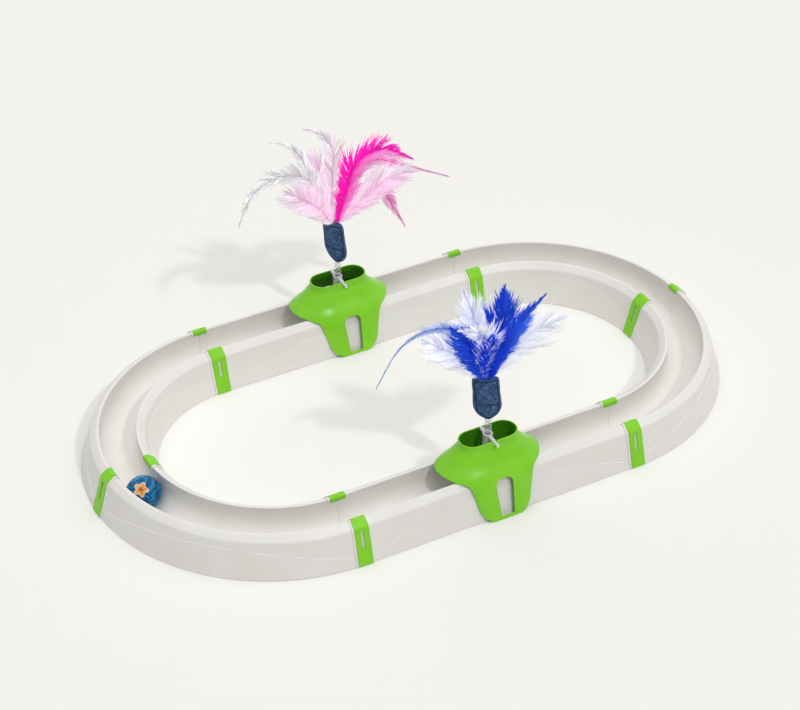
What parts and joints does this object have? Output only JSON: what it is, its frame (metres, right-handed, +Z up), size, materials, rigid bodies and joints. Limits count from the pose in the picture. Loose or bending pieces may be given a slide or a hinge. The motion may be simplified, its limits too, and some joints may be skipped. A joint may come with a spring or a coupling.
{
  "type": "cat ball track toy",
  "caption": "Oval channel track for a cat with a ball that rolls round it, clipped together from straights and bends, with feather pouches on springs rocking over bridges",
  "frame": {"origin": "middle of the oval on the floor it stands on", "axes": "+X along the straights, +Y from the front straight to the rear one, +Z up"},
  "size_m": [0.8122, 0.4626, 0.3023],
  "materials": {
    "track_white": "satin",
    "lime_green": "gloss",
    "rocker_white": "satin",
    "weight_steel": "matte",
    "spring_steel": "bright",
    "denim": "woven",
    "feather_blue": "downy",
    "feather_pink": "downy",
    "ball_blue": "gloss"
  },
  "bodies": {
    "track": {"track_straight_front": "track_white", "track_straight_rear": "track_white", "track_bend_right_front": "track_white", "track_bend_right_rear": "track_white", "track_bend_left_rear": "track_white", "track_bend_left_front": "track_white", "clip_front_left_outer": "lime_green", "clip_front_left_inner": "lime_green", "clip_front_right_outer": "lime_green", "clip_front_right_inner": "lime_green", "clip_rear_left_outer": "lime_green", "clip_rear_left_inner": "lime_green", "clip_rear_right_outer": "lime_green", "clip_rear_right_inner": "lime_green", "clip_left_middle_outer": "lime_green", "clip_left_middle_inner": "lime_green", "clip_right_middle_outer": "lime_green", "clip_right_middle_inner": "lime_green", "bridge_front": "lime_green", "bridge_rear": "lime_green"},
    "ball": {"ball_upper_half": "ball_blue", "ball_lower_half": "ball_blue"},
    "front_rocker": {"rocker_front": "rocker_white", "counterweight_front": "weight_steel", "spring_front": "spring_steel"},
    "front_plume": {"pouch_front": "denim", "feather_front_1": "feather_blue", "feather_front_2": "feather_blue", "feather_front_3": "feather_blue", "feather_front_4": "feather_blue", "feather_front_5": "feather_blue", "feather_front_6": "feather_blue", "feather_front_7": "feather_blue", "feather_front_8": "feather_blue", "feather_front_9": "feather_blue"},
    "rear_rocker": {"rocker_rear": "rocker_white", "counterweight_rear": "weight_steel", "spring_rear": "spring_steel"},
    "rear_plume": {"pouch_rear": "denim", "feather_rear_1": "feather_pink", "feather_rear_2": "feather_pink", "feather_rear_3": "feather_pink", "feather_rear_4": "feather_pink", "feather_rear_5": "feather_pink", "feather_rear_6": "feather_pink", "feather_rear_7": "feather_pink", "feather_rear_8": "feather_pink", "feather_rear_9": "feather_pink"}
  },
  "joints": [
    {"name": "ball_travel", "type": "hinge", "parent": "track", "child": "ball", "pos_m": [-0.18, 0, 0.0303], "axis": [0, 0, 1], "range_deg": [-99, 81]},
    {"name": "front_rock", "type": "hinge", "parent": "track", "child": "front_rocker", "pos_m": [0, -0.18, 0.0826], "axis": [0, 1, 0], "range_deg": [-20, 20]},
    {"name": "front_wobble", "type": "hinge", "parent": "front_rocker", "child": "front_plume", "pos_m": [0, -0.18, 0.0957], "axis": [0, 1, 0], "range_deg": [-20, 20], "stiffness_Nm_per_rad": 0.05, "deforming": ["spring_front"]},
    {"name": "rear_rock", "type": "hinge", "parent": "track", "child": "rear_rocker", "pos_m": [0, 0.18, 0.0826], "axis": [0, 1, 0], "range_deg": [-20, 20]},
    {"name": "rear_wobble", "type": "hinge", "parent": "rear_rocker", "child": "rear_plume", "pos_m": [0, 0.18, 0.0957], "axis": [0, 1, 0], "range_deg": [-20, 20], "stiffness_Nm_per_rad": 0.05, "deforming": ["spring_rear"]}
  ]
}
